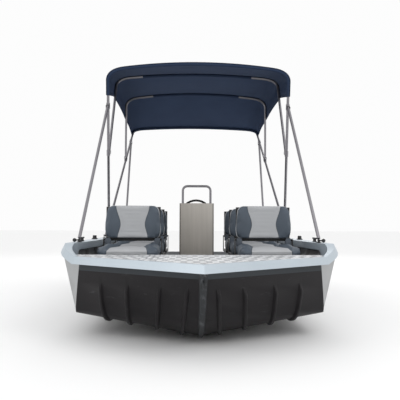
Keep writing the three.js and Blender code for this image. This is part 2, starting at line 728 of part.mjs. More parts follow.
// A collar round the leg with two cheeks that hold the pin of the next tube, on both sides of the boat.
function jawSlides(bow, distance, way, centreX) {
  const turn = new THREE.Matrix4().makeBasis(vec(1, 0, 0), bow.side.clone().multiplyScalar(way), bow.up.clone()
    .multiplyScalar(-way));
  const collar = bar([bow.onLeg(distance - jaw.half), bow.onLeg(distance + jaw.half)], jaw.radius, 10);
  const inner = tube / 2 + jaw.gap;
  const cheeks = [-1, 1].map((side) => {
    const cheek = new THREE.BoxGeometry(jaw.cheek, jawOffset + jaw.reach, 2 * jaw.reach);
    cheek.translate(side * (inner + jaw.cheek / 2), (jawOffset + jaw.reach) / 2, 0).applyMatrix4(turn);
    return cheek.translate(centreX, bow.onLeg(distance).y, bow.onLeg(distance).z);
  });
  const port = [collar, ...cheeks];
  return [...port, ...port.map(flipped)];
}

const frontStrutTop = besideLeg(frontBow, frontStrutJaw, 1);
const rearStrutTop = besideLeg(rearBow, rearStrutJaw, -1);

piece('front_bow', joined(
  frontBow.tube(),
  ...jawSlides(frontBow, secondJaw, -1, secondBow.footX),
  ...jawSlides(frontBow, frontStrutJaw, 1, frontBow.legX(frontStrutJaw)),
), tubeMetal);
piece('second_bow', secondBow.tube(), tubeMetal);
piece('third_bow', thirdBow.tube(), tubeMetal);
piece('rear_bow', joined(
  rearBow.tube(),
  ...jawSlides(rearBow, thirdJaw, 1, thirdBow.footX),
  ...jawSlides(rearBow, rearStrutJaw, -1, rearBow.legX(rearStrutJaw)),
), tubeMetal);

function deckHinge() {
  const { y } = mainPin;
  const base = box(vec(frontBow.footX - 22, y - 34, onGunwale), vec(rearBow.footX + 22, y + 34, onGunwale + 5));
  const middle = (frontBow.footX + rearBow.footX) / 2;
  const cheekXs = [frontBow.footX - 18, middle - 2, rearBow.footX + 14];
  const cheeks = cheekXs.map((x) => box(vec(x, y - 14, onGunwale + 4), vec(x + 4, y + 14, mainPin.z + 14)));
  return joined(base, ...cheeks);
}
pair('deck_hinge', deckHinge(), blackPlastic);

// The poles end just above their feet, where each is pinned while the top is up.
const poleFoot = { height: 26, radius: 10, gap: 6 };
const frontFoot = vec(905, aft(1180), onGunwale);
const rearFoot = vec(862, aft(3780), onGunwale);
const poleEnd = (foot) => foot.clone().setZ(foot.z + poleFoot.height + poleFoot.gap);

function poleFootPiece(foot) {
  const base = box(foot.clone().add(vec(-16, -22, 0)), foot.clone().add(vec(16, 22, 5)));
  const post = bar([foot.clone().add(vec(0, 0, 3)), foot.clone().add(vec(0, 0, poleFoot.height))], poleFoot.radius);
  return joined(base, post);
}

function frontFootPiece() {
  const middle = frontFoot.clone().add(vec(0, 0, 16));
  const stem = bar([middle, middle.clone().add(vec(30, 0, 0))], 6);
  const knob = new THREE.SphereGeometry(15, 12, 8).translate(middle.x + 37, middle.y, middle.z);
  return joined(poleFootPiece(frontFoot), stem, knob);
}
pair('front_pole_foot', frontFootPiece(), blackPlastic);
pair('rear_pole_foot', poleFootPiece(rearFoot), blackPlastic);

const poleTop = (bow, distance, pin) => vec(bow.legX(distance), pin.y, pin.z);
pair('front_pole', bar([poleEnd(frontFoot), poleTop(frontBow, frontStrutJaw, frontStrutTop)], tube / 2), tubeMetal);
pair('rear_pole', bar([poleEnd(rearFoot), poleTop(rearBow, rearStrutJaw, rearStrutTop)], tube / 2), tubeMetal);

// The cover lies over the four bows, with its side hems drawn up between them.
const cover = { gap: 1.2, thickness: 3, sag: 12, lip: 16, rowsBetween: 3 };
const hems = [[frontBow, 1829], [secondBow, 1948], [thirdBow, 1922], [rearBow, 1835]];

// Square to the cover over one bow, halfway between the runs of cloth before and after it.
function coverNormal(i) {
  const crowns = hems.map(([bow]) => bow.at(0, bow.length));
  const before = crowns[Math.max(i - 1, 0)];
  const after = crowns[Math.min(i + 1, crowns.length - 1)];
  const run = after.clone().sub(before).normalize();
  return vec(0, -run.z, run.y);
}

function coverSurface(grow) {
  const stations = hems.map(([bow, z], i) => bow.half(bow.distanceAtHeight(z)).map((p, k) => {
    const turn = THREE.MathUtils.clamp((k - 1) / cornerSteps, 0, 1) * (Math.PI / 2);
    return p.add(vec(grow * Math.cos(turn), 0, 0)).addScaledVector(coverNormal(i), grow * Math.sin(turn));
  }));
  const rows = [stations[0].map((p) => p.clone().add(vec(0, -cover.lip, 0)))];
  stations.forEach((station, i) => {
    rows.push(station);
    const next = stations[i + 1];
    if (!next) return;
    for (const t of steps(cover.rowsBetween).slice(1, -1)) {
      const drop = vec(0, 0, -cover.sag * Math.sin(Math.PI * t));
      rows.push(station.map((p, k) => p.clone().lerp(next[k], t).add(k > 1 ? drop : vec(0, 0, 0))));
    }
  });
  rows.push(stations.at(-1).map((p) => p.clone().add(vec(0, cover.lip, 0))));
  return rows.map((row) => [...row, ...row.slice(0, -1).map(mirrored).reverse()]);
}
const coverGrow = tube / 2 + cover.gap;
piece('canopy', slab(coverSurface(coverGrow + cover.thickness), coverSurface(coverGrow)), navyCanvas);

export default boat;
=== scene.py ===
# %% [markdown]
# # An open fishing boat with a folding sun top
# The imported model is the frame: every size and place below is read from it, in metres. +X is the
# port side, the bow points along -Y, +Z is up, and the origin is at the waterline amidships.
# What this script adds is the finish: plate that catches light on its edges, pressed tread,
# sewn vinyl, canvas, and the small fittings.

import json
import math

import bmesh
import bpy
from mathutils import Matrix, Vector
from mathutils.bvhtree import BVHTree

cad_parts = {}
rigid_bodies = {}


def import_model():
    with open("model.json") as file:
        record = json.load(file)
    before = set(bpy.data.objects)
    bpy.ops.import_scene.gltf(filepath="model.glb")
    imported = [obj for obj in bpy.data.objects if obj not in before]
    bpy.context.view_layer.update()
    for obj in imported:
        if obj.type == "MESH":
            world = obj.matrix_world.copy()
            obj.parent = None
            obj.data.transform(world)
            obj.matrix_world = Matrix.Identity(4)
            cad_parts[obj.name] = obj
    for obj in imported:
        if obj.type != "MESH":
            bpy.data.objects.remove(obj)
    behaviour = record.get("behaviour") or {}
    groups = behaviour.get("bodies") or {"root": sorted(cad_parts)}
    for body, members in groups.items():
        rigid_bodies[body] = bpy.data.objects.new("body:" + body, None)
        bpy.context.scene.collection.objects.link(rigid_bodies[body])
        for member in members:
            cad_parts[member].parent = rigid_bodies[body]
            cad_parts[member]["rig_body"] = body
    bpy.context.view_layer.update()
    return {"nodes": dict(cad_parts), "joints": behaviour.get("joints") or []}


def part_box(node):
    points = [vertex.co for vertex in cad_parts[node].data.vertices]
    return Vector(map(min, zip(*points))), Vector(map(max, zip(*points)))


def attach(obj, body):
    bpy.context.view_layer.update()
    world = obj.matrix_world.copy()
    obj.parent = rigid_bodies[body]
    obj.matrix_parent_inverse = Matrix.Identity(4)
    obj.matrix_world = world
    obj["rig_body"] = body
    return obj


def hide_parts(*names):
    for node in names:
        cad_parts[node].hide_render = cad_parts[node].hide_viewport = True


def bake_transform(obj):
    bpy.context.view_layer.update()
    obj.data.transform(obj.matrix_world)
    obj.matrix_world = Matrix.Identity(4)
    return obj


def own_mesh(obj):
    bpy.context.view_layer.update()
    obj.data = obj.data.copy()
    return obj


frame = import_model()

# %% [markdown]
# ## Camera
# The camera stands low in front of the bow, a little to starboard, and looks slightly up, so the
# sun top's underside shows. A 48 mm lens keeps the near corners of the bow from stretching.

# %% Camera
def add_camera(place, lens, pitch, yaw, roll):
    data = bpy.data.cameras.new("camera")
    data.lens = lens
    data.sensor_width = 36.0
    camera = bpy.data.objects.new("camera", data)
    bpy.context.scene.collection.objects.link(camera)
    turn = (Matrix.Rotation(math.radians(-yaw), 4, "Z")
            @ Matrix.Rotation(math.radians(90 + pitch), 4, "X")
            @ Matrix.Rotation(math.radians(roll), 4, "Z"))
    camera.matrix_world = Matrix.Translation(place) @ turn
    bpy.context.scene.camera = camera
    return camera


bow_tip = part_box("bow_rail")[0].y
camera = add_camera(place=(-0.09, bow_tip - 2.92, 0.676), lens=48.7, pitch=2.59, yaw=1.28, roll=0.2)
print("camera at", tuple(round(v, 3) for v in camera.matrix_world.translation))

# %% [markdown]
# ## Floor and light
# A boat on show stands in even daylight. A pale floor at the keel, a bright even world and three
# large soft area lights give that, with one brighter light high on the port side for shape.

# %% Floor and lights
def shade_flat_colour(name, colour, roughness):
    material = bpy.data.materials.new(name)
    material.use_nodes = True
    shader = material.node_tree.nodes["Principled BSDF"]
    shader.inputs["Base Color"].default_value = (*colour, 1)
    shader.inputs["Roughness"].default_value = roughness
    return material


def add_floor(height, size):
    mesh = bpy.data.meshes.new("floor")
    corners = [(-size, -size, height), (size, -size, height), (size, size, height), (-size, size, height)]
    mesh.from_pydata(corners, [], [(0, 1, 2, 3)])
    floor = bpy.data.objects.new("floor", mesh)
    bpy.context.scene.collection.objects.link(floor)
    mesh.materials.append(shade_flat_colour("floor_pale", (0.93, 0.93, 0.93), 0.9))


def add_area_light(name, place, target, size, power):
    data = bpy.data.lights.new(name, "AREA")
    data.shape = "SQUARE"
    data.size = size
    data.energy = power
    light = bpy.data.objects.new(name, data)
    bpy.context.scene.collection.objects.link(light)
    aim = Vector(target) - Vector(place)
    light.matrix_world = Matrix.Translation(place) @ aim.to_track_quat("-Z", "Y").to_matrix().to_4x4()


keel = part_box("stem_bar")[0].z
add_floor(keel - 0.002, 60)
add_area_light("sky_port", (4.5, -5.0, 6.0), (0, 0, 0.6), 4.0, 110)
add_area_light("sky_starboard", (-5.5, -4.0, 4.0), (0, -1, 0.5), 4.0, 50)
add_area_light("sky_stern", (0.5, 7.0, 5.0), (0, 0, 1.0), 4.0, 90)
world = bpy.data.worlds.new("even_daylight")
bpy.context.scene.world = world
world.use_nodes = True
world.node_tree.nodes["Background"].inputs["Color"].default_value = (1.0, 1.0, 1.0, 1)
world.node_tree.nodes["Background"].inputs["Strength"].default_value = 0.98
bpy.context.scene.view_settings.view_transform = "Standard"

# %% [markdown]
# ## Shader maths as plain expressions
# A material here is a recipe in arithmetic: noise times a scale, plus a stripe, and so on. A small
# class wraps a socket and turns Python's operators into Math nodes, so that a recipe reads as a
# sentence. Colours go through Mix nodes, because a Math node would turn them grey.

# %% Shader helpers
class Wire:
    """A socket of a material's tree that can be added, multiplied and compared."""

    def __init__(self, finish, socket):
        self.finish = finish
        self.socket = socket

    def maths(self, operation, *others, clamp=False):
        settings = {"operation": operation, "use_clamp": clamp}
        return self.finish.node("ShaderNodeMath", settings, dict(enumerate((self, *others))))

    def __add__(self, other):
        return self.maths("ADD", other)

    __radd__ = __add__

    def __mul__(self, other):
        return self.maths("MULTIPLY", other)

    __rmul__ = __mul__

    def __sub__(self, other):
        return self.maths("SUBTRACT", other)

    def __rsub__(self, other):
        return self.finish.node("ShaderNodeMath", {"operation": "SUBTRACT"}, {0: other, 1: self})

    def __truediv__(self, other):
        return self.maths("DIVIDE", other)

    def sine(self):
        return self.maths("SINE")

    def size(self):
        return self.maths("ABSOLUTE")

    def above(self, edge, soft):
        """0 below the edge and 1 above it, over a soft step."""
        settings = {"interpolation_type": "SMOOTHSTEP"}
        return self.finish.node("ShaderNodeMapRange", settings, {0: self, 1: edge - soft, 2: edge + soft})


class Finish:
    """One material, built node by node."""

    def __init__(self, name, **shader_values):
        self.material = bpy.data.materials.new(name)
        self.material.use_nodes = True
        self.tree = self.material.node_tree
        self.shader = self.tree.nodes["Principled BSDF"]
        self.coords = None
        for socket, value in shader_values.items():
            self.shader.inputs[socket.replace("_", " ")].default_value = value

    def node(self, kind, settings, values, output=0):
        made = self.tree.nodes.new(kind)
        for key, value in settings.items():
            setattr(made, key, value)
        for key, value in values.items():
            if isinstance(value, Wire):
                self.tree.links.new(value.socket, made.inputs[key])
            else:
                made.inputs[key].default_value = value
        return Wire(self, made.outputs[output])

    def place(self):
        """Where a point is on the object."""
        if self.coords is None:
            self.coords = self.tree.nodes.new("ShaderNodeTexCoord")
        return Wire(self, self.coords.outputs["Object"])

    def axes(self, vector=None):
        split = self.tree.nodes.new("ShaderNodeSeparateXYZ")
        self.tree.links.new((vector or self.place()).socket, split.inputs[0])
        return [Wire(self, output) for output in split.outputs]

    def stretched(self, scale, vector=None):
        return self.node("ShaderNodeMapping", {}, {"Vector": vector or self.place(), "Scale": scale})

    def noise(self, scale, detail=3.0, roughness=0.55, vector=None):
        values = {"Vector": vector or self.place(), "Scale": scale, "Detail": detail, "Roughness": roughness}
        return self.node("ShaderNodeTexNoise", {}, values)

    def blend(self, factor, low, high):
        values = {0: factor, 6: low if isinstance(low, Wire) else (*low, 1),
                  7: high if isinstance(high, Wire) else (*high, 1)}
        return self.node("ShaderNodeMix", {"data_type": "RGBA"}, values, output=2)

    def feed(self, socket, wire):
        self.tree.links.new(wire.socket, self.shader.inputs[socket])
        return self

    def bump(self, height, distance, strength=1.0):
        values = {"Height": height, "Distance": distance, "Strength": strength}
        normal = self.node("ShaderNodeBump", {}, values)
        return self.feed("Normal", normal)

# %% [markdown]
# ## Metals
# Three metals meet on this boat. The hull is painted aluminium sheet, black below; the grey band along the
# top under the gunwale is painted shade for the hull's top flange in the rail's shade. Rails, frames and
# deck are bare aluminium, which is never a mirror: the mill leaves fine drawn lines, and handling leaves
# faint cloudy patches. The console is brushed across.

# %% Metal and paint finishes
def bare_metal(name, colour, dark, roughness, metallic, drawn, grain):
    """Bare aluminium: long drawn lines along one axis and a soft cloudy stain."""
    finish = Finish(name, Metallic=metallic)
    cloud = finish.noise(3.2, 4)
    lines = finish.noise(60, 3, 0.6, finish.stretched(drawn))
    stain = cloud * 0.6 + lines * 0.4
    finish.feed("Base Color", finish.blend(stain, dark, colour))
    finish.feed("Roughness", roughness - 0.10 + lines * 0.14 + cloud * 0.08)
    return finish.bump(lines, grain).material


def painted_hull(name):
    """Black paint, with a lighter grey band under the gunwale that is painted shade for the hull's top
    flange in the rail's shade, and a little dust near the chine.
    """
    finish = Finish(name, Specular_IOR_Level=0.22)
    x, y, z = finish.axes()
    # painted shade: above this height the hull gets a lighter grey that stands for its top flange in the
    # rail's shade
    flange_shade_band = z.above(flange_shade_height, 0.0015)
    cloud = finish.noise(2.6, 4)
    fleck = finish.noise(380, 2, 0.7)
    black = finish.blend(cloud, (0.0050, 0.0042, 0.0055), (0.0120, 0.0100, 0.0115))
    flange_shade_grey = finish.blend(cloud, (0.028, 0.033, 0.038), (0.042, 0.049, 0.056))
    colour = finish.blend(flange_shade_band, black, flange_shade_grey)
    scuff = finish.noise(9, 6, 0.7, finish.stretched((1, 1, 4))).above(0.66, 0.05)
    finish.feed("Base Color", finish.blend(scuff * 0.12, colour, (0.16, 0.16, 0.17)))
    finish.feed("Roughness", 0.34 + cloud * 0.10 + fleck * 0.05 + flange_shade_band * 0.08)
    return finish.bump(fleck, 0.00015, 0.6).material


def worn_paint(name, paint, bare):
    """Dark paint rubbed through to lighter metal in patches, as on a stem that meets the beach."""
    finish = Finish(name, Specular_IOR_Level=0.35)
    cloud = finish.noise(7, 4)
    rubbed = finish.noise(26, 6, 0.7, finish.stretched((1, 1, 0.35))).above(0.60, 0.07)
    coat = finish.blend(cloud, [c * 0.7 for c in paint], [c * 1.4 for c in paint])
    finish.feed("Base Color", finish.blend(rubbed * 0.55, coat, bare))
    finish.feed("Roughness", 0.42 + cloud * 0.14)
    return finish.bump(rubbed, 0.0002).material


# height where the painted shade band for the hull's top flange begins
flange_shade_height = 0.362
stem_paint = worn_paint("stem_paint", (0.020, 0.022, 0.025), (0.14, 0.15, 0.16))
hull_paint = painted_hull("hull_black_paint")
rail_metal = bare_metal("rail_aluminium", (0.56, 0.62, 0.67), (0.44, 0.50, 0.55),
                        0.38, 0.75, (1, 0.06, 1), 0.00008)
deck_metal = bare_metal("deck_plate", (0.70, 0.72, 0.74), (0.58, 0.60, 0.62),
                        0.34, 0.85, (1, 0.05, 1), 0.0001)
frame_metal = bare_metal("mill_aluminium", (0.46, 0.465, 0.47), (0.36, 0.365, 0.37),
                         0.46, 0.7, (1, 0.08, 1), 0.0001)
tube_metal = bare_metal("tube_aluminium", (0.30, 0.29, 0.31), (0.20, 0.195, 0.21),
                        0.36, 0.7, (1, 1, 0.08), 0.00006)
# the band printed here is painted shade for the hull's top flange, not a second paint
print("paint strip starts", flange_shade_height, "m above the waterline")

# %% [markdown]
# ## Brushed console
# The console's sheet is brushed top to bottom before it is folded. Its folded edges are painted darker
# as painted shade, and its face is painted lighter towards port and towards the top as painted light.
# The brush marks are one noise drawn out twenty to one along Z.

# %% Brushed sheet
def brushed_sheet(name):
    finish = Finish(name, Metallic=0.55)
    low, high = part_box("console")
    x, y, z = finish.axes()
    brush = finish.noise(9, 4, 0.6, finish.stretched((3.0, 1, 0.14)))
    fine = finish.noise(120, 2, 0.6, finish.stretched((1, 1, 0.05)))
    cloud = finish.noise(4, 3)
    # painted shade: the outer 12 mm towards each folded edge is darkened
    edge = x.size().above(high.x - 0.012, 0.006)
    # painted light: the face gets lighter towards port and towards the top
    painted_light_ramp = (x + high.x) / (2 * high.x) * 0.35 + (z - low.z) / (high.z - low.z) * 0.30
    tone = brush * 0.55 + cloud * 0.15 + painted_light_ramp - 0.18
    face = finish.blend(tone, (0.30, 0.28, 0.25), (0.62, 0.585, 0.54))
    # the edge band is blended to a near-black painted shade
    finish.feed("Base Color", finish.blend(edge * 0.7, face, (0.075, 0.07, 0.066)))
    finish.feed("Roughness", 0.36 + fine * 0.18)
    return finish.bump(fine, 0.0001).material


console_metal = brushed_sheet("brushed_console")

# %% [markdown]
# ## Plastics and rubber
# Moulded black plastic has a fine pebbled skin from the mould. Rubber grips are duller and rougher.
# The cockpit lining is a dark marine carpet: short loops that scatter light.

# %% Plastic, rubber and lining
def moulded_plastic(name, colour, roughness, grain):
    finish = Finish(name, Specular_IOR_Level=0.4)
    pebble = finish.noise(grain, 2, 0.6)
    cloud = finish.noise(12, 3)
    worn = finish.blend(cloud, [c * 0.75 for c in colour], [c * 1.5 for c in colour])
    finish.feed("Base Color", worn)
    finish.feed("Roughness", roughness - 0.05 + pebble * 0.16)
    return finish.bump(pebble, 0.0002, 0.5).material


def carpet(name):
    finish = Finish(name, Specular_IOR_Level=0.2)
    loops = finish.noise(520, 2, 0.8)
    cloud = finish.noise(7, 4)
    dark, pale = (0.020, 0.021, 0.023), (0.075, 0.078, 0.083)
    finish.feed("Base Color", finish.blend(loops * 0.6 + cloud * 0.4, dark, pale))
    finish.feed("Roughness", 0.85 + loops * 0.12)
    return finish.bump(loops, 0.0012, 0.8).material


black_plastic = moulded_plastic("moulded_black", (0.017, 0.017, 0.018), 0.42, 900)
grip_rubber = moulded_plastic("grip_rubber", (0.012, 0.012, 0.012), 0.60, 500)
lining = carpet("dark_lining")
print("plastics:", black_plastic.name, grip_rubber.name, lining.name)

# %% [markdown]
# ## Giving the metalwork real edges
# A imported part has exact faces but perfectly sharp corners, and no real edge is that sharp: sheet
# is deburred and castings are rounded. Each part is copied, its loose triangles are merged into a
# skin, flat regions are joined into single faces, and a small bevel rounds what is left.

# %% Helpers for pieces
def put_in(name, mesh, material, body, smooth=35):
    """Make a finished mesh a piece that rides on a body."""
    piece = bpy.data.objects.new(name, mesh)
    bpy.context.scene.collection.objects.link(piece)
    mesh.materials.clear()
    mesh.materials.append(material)
    mesh.shade_smooth()
    mesh.set_sharp_from_angle(angle=math.radians(smooth))
    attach(piece, body)
    return piece


def skin_of(node):
    """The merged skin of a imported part, as a new mesh."""
    mesh = frame["nodes"][node].data.copy()
    skin = bmesh.new()
    skin.from_mesh(mesh)
    bmesh.ops.remove_doubles(skin, verts=skin.verts, dist=0.00002)
    bmesh.ops.dissolve_limit(skin, angle_limit=math.radians(0.3), verts=skin.verts, edges=skin.edges)
    skin.to_mesh(mesh)
    skin.free()
    return mesh


def dress(node, material, bevel=0.0, smooth=35):
    piece = put_in(node + "_skin", skin_of(node), material, frame["nodes"][node]["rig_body"], smooth)
    if bevel:
        rounding = piece.modifiers.new("deburred edge", "BEVEL")
        rounding.width = bevel
        rounding.segments = 2
        rounding.limit_method = "ANGLE"
        rounding.angle_limit = math.radians(40)
        rounding.use_clamp_overlap = True
        rounding.harden_normals = True
    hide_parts(node)
    return piece


def sides(stem, ending=""):
    return [stem + "_port" + ending, stem + "_starboard" + ending]


# %% [markdown]
# ## Dressing the hull, rails and tubes
# Hull and tubes have long smooth curves, so neighbouring faces shade as one up to 35 degrees, while
# the ribs' and rails' own corners stay crisp.

# %% Dress the metalwork
dress("hull_bottom", hull_paint, 0.002, 28)
dress("stem_bar", stem_paint, 0.003, 40)
for node in ["bow_rail", *sides("gunwale")]:
    dress(node, rail_metal, 0.003, 30)
for node in [*sides("side_plate")]:
    dress(node, frame_metal, 0.001)
for node in ["transom", "motor_pad"]:
    dress(node, deck_metal, 0.001)
for node in ["foredeck_bulkhead", *sides("side_frames")]:
    dress(node, frame_metal, 0.001)
dress("cockpit_floor", lining, 0.001)
dress("console", console_metal, 0.003)
for node in ["console_grab_rail", "front_bow", "second_bow", "third_bow", "rear_bow",
             *sides("front_pole"), *sides("rear_pole")]:
    dress(node, tube_metal)
for node in [*sides("deck_hinge"), *sides("front_pole_foot"), *sides("rear_pole_foot"),
             *sides("cleat"), *sides("rod_holder")]:
    dress(node, black_plastic, 0.001)
dress("steering_wheel", grip_rubber)

# %% [markdown]
# ## Vinyl
# Marine vinyl is a coated cloth: a fine leathery grain, a soft sheen, and a colour that wears
# lighter on the crowns. Each cushion is two colours sewn together. How far a point lies from the
# seam is kept in an attribute, "seam", in metres: above zero it is on the light centre panel.

# %% Vinyl finish
def sewn_vinyl(name, side_colour, panel_colour):
    finish = Finish(name, Specular_IOR_Level=0.35)
    seam = finish.node("ShaderNodeAttribute", {"attribute_name": "seam"}, {}, output=2)
    grain = finish.noise(420, 3, 0.65)
    cloud = finish.noise(8, 3)
    panel = seam.above(0.0, 0.0006)
    sides_tone = finish.blend(cloud * 0.7 + grain * 0.3,
        [c * 0.74 for c in side_colour], [c * 1.25 for c in side_colour])
    panel_tone = finish.blend(cloud * 0.7 + grain * 0.3,
        [c * 0.90 for c in panel_colour], [c * 1.06 for c in panel_colour])
    line = 1 - seam.size().above(0.0022, 0.0014)
    cloth = finish.blend(panel, sides_tone, panel_tone)
    finish.feed("Base Color", finish.blend(line * 0.7, cloth, [c * 0.35 for c in side_colour]))
    finish.feed("Roughness", 0.44 + grain * 0.16 + line * 0.2)
    groove = grain * 0.10 - line * 1.0
    return finish.bump(groove, 0.0012, 0.7).material


slate = (0.078, 0.098, 0.124)
seat_vinyl = sewn_vinyl("seat_vinyl", slate, (0.44, 0.45, 0.465))
slate_plastic = moulded_plastic("slate_plastic", (0.070, 0.084, 0.104), 0.48, 700)
piping_vinyl = moulded_plastic("piping_vinyl", (0.50, 0.51, 0.53), 0.45, 800)
print("vinyl colours ready")

# %% [markdown]
# ## A foam block, cut to its outline
# A cushion starts as a foam block: an outline with rounded corners, given a thickness, with its
# rims rounded over. It is then remeshed into even squares, because cloth needs even squares to
# swell evenly.

# %% Foam block helpers
def rounded_outline(corners, steps=7):
    """Points round a polygon whose corners are (x, y, radius), counter-clockwise."""
    points = []
    for i, (x, y, radius) in enumerate(corners):
        here = Vector((x, y))
        back = (Vector(corners[i - 1][:2]) - here).normalized()
        on = (Vector(corners[(i + 1) % len(corners)][:2]) - here).normalized()
        half = back.angle(on) / 2
        start, end = here + back * (radius / math.tan(half)), here + on * (radius / math.tan(half))
        centre = here + (back + on).normalized() * (radius / math.sin(half))
        first, last = start - centre, end - centre
        for step in range(steps + 1):
            ray = first.lerp(last, step / steps).normalized() * radius
            points.append(centre + ray)
    return points


def foam_block(outline, low, high, rim, stand):
    """A prism of the outline with rounded rims. stand turns (x, y, height) into seat space."""
    block = bmesh.new()
    rings = [[block.verts.new(stand(p.x, p.y, h)) for p in outline] for h in (low, high)]
    caps = [block.faces.new(ring) for ring in rings]
    for i in range(len(outline)):
        j = (i + 1) % len(outline)
        block.faces.new((rings[0][i], rings[0][j], rings[1][j], rings[1][i]))
    edges = [e for cap in caps for e in cap.edges]
    bmesh.ops.bevel(block, geom=edges, offset=rim, segments=5, profile=0.5, affect="EDGES")
    bmesh.ops.recalc_face_normals(block, faces=block.faces)
    mesh = bpy.data.meshes.new("foam")
    block.to_mesh(mesh)
    block.free()
    return mesh


def baked(mesh, kind, **settings):
    """The mesh after one modifier, as a plain mesh."""
    holder = bpy.data.objects.new("holder", mesh)
    bpy.context.scene.collection.objects.link(holder)
    modifier = holder.modifiers.new("once", kind)
    for key, value in settings.items():
        setattr(modifier, key, value)
    done = bpy.data.meshes.new_from_object(holder.evaluated_get(bpy.context.evaluated_depsgraph_get()))
    bpy.data.objects.remove(holder)
    return done


# %% [markdown]
# ## Letting the foam fill its cover
# The cover is held along its seams and free between them. A little air pressure in the cloth
# solver pushes it out until it is taut, as foam does, so the crowns and the creases beside the
# seams come out of the simulation instead of being drawn.

# %% Swell
def swell(blocks, frames=14):
    """Blow up each (mesh, held, limit): held says if a point is sewn down, limit caps its travel."""
    holders = []
    for mesh, held, limit in blocks:
        holder = bpy.data.objects.new("cover", mesh)
        bpy.context.scene.collection.objects.link(holder)
        group = holder.vertex_groups.new(name="sewn")
        group.add([v.index for v in mesh.vertices if held(v.co)], 1.0, "REPLACE")
        cloth = holder.modifiers.new("cover", "CLOTH")
        cloth.settings.use_pressure = True
        cloth.settings.uniform_pressure_force = 4.0
        cloth.settings.vertex_group_mass = "sewn"
        cloth.settings.quality = 5
        cloth.settings.effector_weights.gravity = 0
        cloth.collision_settings.use_collision = False
        holders.append((holder, limit))
    for frame_number in range(1, frames + 1):
        bpy.context.scene.frame_set(frame_number)
    swollen = []
    for holder, limit in holders:
        start = holder.data
        done = bpy.data.meshes.new_from_object(holder.evaluated_get(bpy.context.evaluated_depsgraph_get()))
        for vertex, before in zip(done.vertices, start.vertices):
            travel = vertex.co - before.co
            if travel.length > limit:
                vertex.co = before.co + travel.normalized() * limit
        swollen.append(done)
        bpy.data.objects.remove(holder)
    bpy.context.scene.frame_set(1)
    return swollen

# %% [markdown]
# ## The backrest and the seat cushion
# Each seat has a backrest with a light panel shaped like an hourglass between two slate bolsters,
# and a cushion with a panel that widens to the front. One of each is made in seat space, with X
# across, Y aft and Z up from the pad's own centre, and then set in its six places.

# %% Seam lines in seat space
def size_of(node):
    low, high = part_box(node)
    return high - low


back_size = size_of("seat_1_port_back_cushion")
seat_size = size_of("seat_1_port_cushion")
back_half, seat_half = back_size / 2, seat_size / 2


def ease(t):
    t = min(max(t, 0.0), 1.0)
    return t * t * (3 - 2 * t)


def back_panel(point):
    """Half the width of the light panel at this height of the backrest."""
    up = min(max((point.z + back_half.z) / back_size.z, 0), 1)
    waist = 0.44 + 0.16 * ease((up - 0.42) / 0.58) + 0.10 * ease((0.42 - up) / 0.42)
    return waist * back_half.x


def seat_panel(point):
    """Half the width of the light panel at this depth of the seat cushion."""
    front = min(max((seat_half.y - point.y) / seat_size.y, 0), 1)
    return (0.40 + 0.26 * front) * seat_half.x


def seam_gap(point, panel):
    return panel(point) - abs(point.x)


# %% [markdown]
# Bolsters stand proud of the panel between them, and the rear of the seat bolsters rises to meet
# the backrest. Both are pushed into the foam before the cover swells.

# %% Foam shapes
def back_outline(inset, steps):
    """The backrest's outline, shared by its foam and its piping."""
    top, low, wide = back_half.z - inset, -back_half.z + inset, back_half.x - inset
    return rounded_outline([(-wide + 0.014, low, 0.030), (wide - 0.014, low, 0.030),
                            (wide - 0.003, low + 0.07, 0.03), (wide - 0.022, top, 0.050),
                            (-wide + 0.022, top, 0.050), (-wide + 0.003, low + 0.07, 0.03)], steps)


def back_foam():
    block = foam_block(back_outline(0, 7), -back_half.y + 0.010, back_half.y - 0.006, 0.020,
                       lambda x, y, h: (x, h, y))
    mesh = baked(block, "REMESH", mode="VOXEL", voxel_size=0.0065)
    for vertex in mesh.vertices:
        point = vertex.co
        if point.y < 0:
            proud = ease((abs(point.x) - back_panel(point)) / 0.045) - 0.5
            point.y -= 0.007 * proud * ease((back_half.z - abs(point.z)) / 0.05)
    return mesh


def seat_foam():
    wide, deep = seat_half.x, seat_half.y
    outline = rounded_outline([(-wide, -deep, 0.070), (wide, -deep, 0.070), (wide - 0.01, deep, 0.035),
                               (-wide + 0.01, deep, 0.035)])
    block = foam_block(outline, -seat_half.z, seat_half.z - 0.014, 0.028, lambda x, y, h: (x, y, h))
    mesh = baked(block, "REMESH", mode="VOXEL", voxel_size=0.0075)
    for vertex in mesh.vertices:
        point = vertex.co
        if point.z > 0:
            outside = ease((abs(point.x) - seat_panel(point)) / 0.05)
            rear = ease((point.y + 0.02) / 0.16)
            point.z += outside * (0.006 + 0.012 * rear)
            point.z -= 0.018 * ease((-point.y - 0.10) / 0.11)
    return mesh


started = [back_foam(), seat_foam()]
print("foam:", [len(m.polygons) for m in started], "faces")

# %% Swell the covers
def back_sewn(point):
    return abs(seam_gap(point, back_panel)) < 0.005 and point.y < 0 or point.y > back_half.y - 0.010


def seat_sewn(point):
    return abs(seam_gap(point, seat_panel)) < 0.005 and point.z > -0.01 or point.z < -seat_half.z + 0.004


covers = swell([(started[0], back_sewn, 0.010), (started[1], seat_sewn, 0.012)])


def mark_seams(mesh, panel):
    gaps = mesh.attributes.new("seam", "FLOAT", "POINT")
    gaps.data.foreach_set("value", [seam_gap(v.co, panel) for v in mesh.vertices])


for cover, panel in zip(covers, (back_panel, seat_panel)):
    mark_seams(cover, panel)
    lows = [min(v.co[i] for v in cover.vertices) for i in range(3)]
    highs = [max(v.co[i] for v in cover.vertices) for i in range(3)]
    print("swollen to", [round(b - a, 3) for a, b in zip(lows, highs)])

# %% [markdown]
# ## Placing the six seats
# The pads are copied into place, and the backrests ride on their own hinged bodies.

# %% Place the pads
seat_names = [f"seat_{row}_{side}" for row in (1, 2, 3) for side in ("port", "starboard")]


def centre_of(node):
    low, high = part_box(node)
    return (low + high) / 2


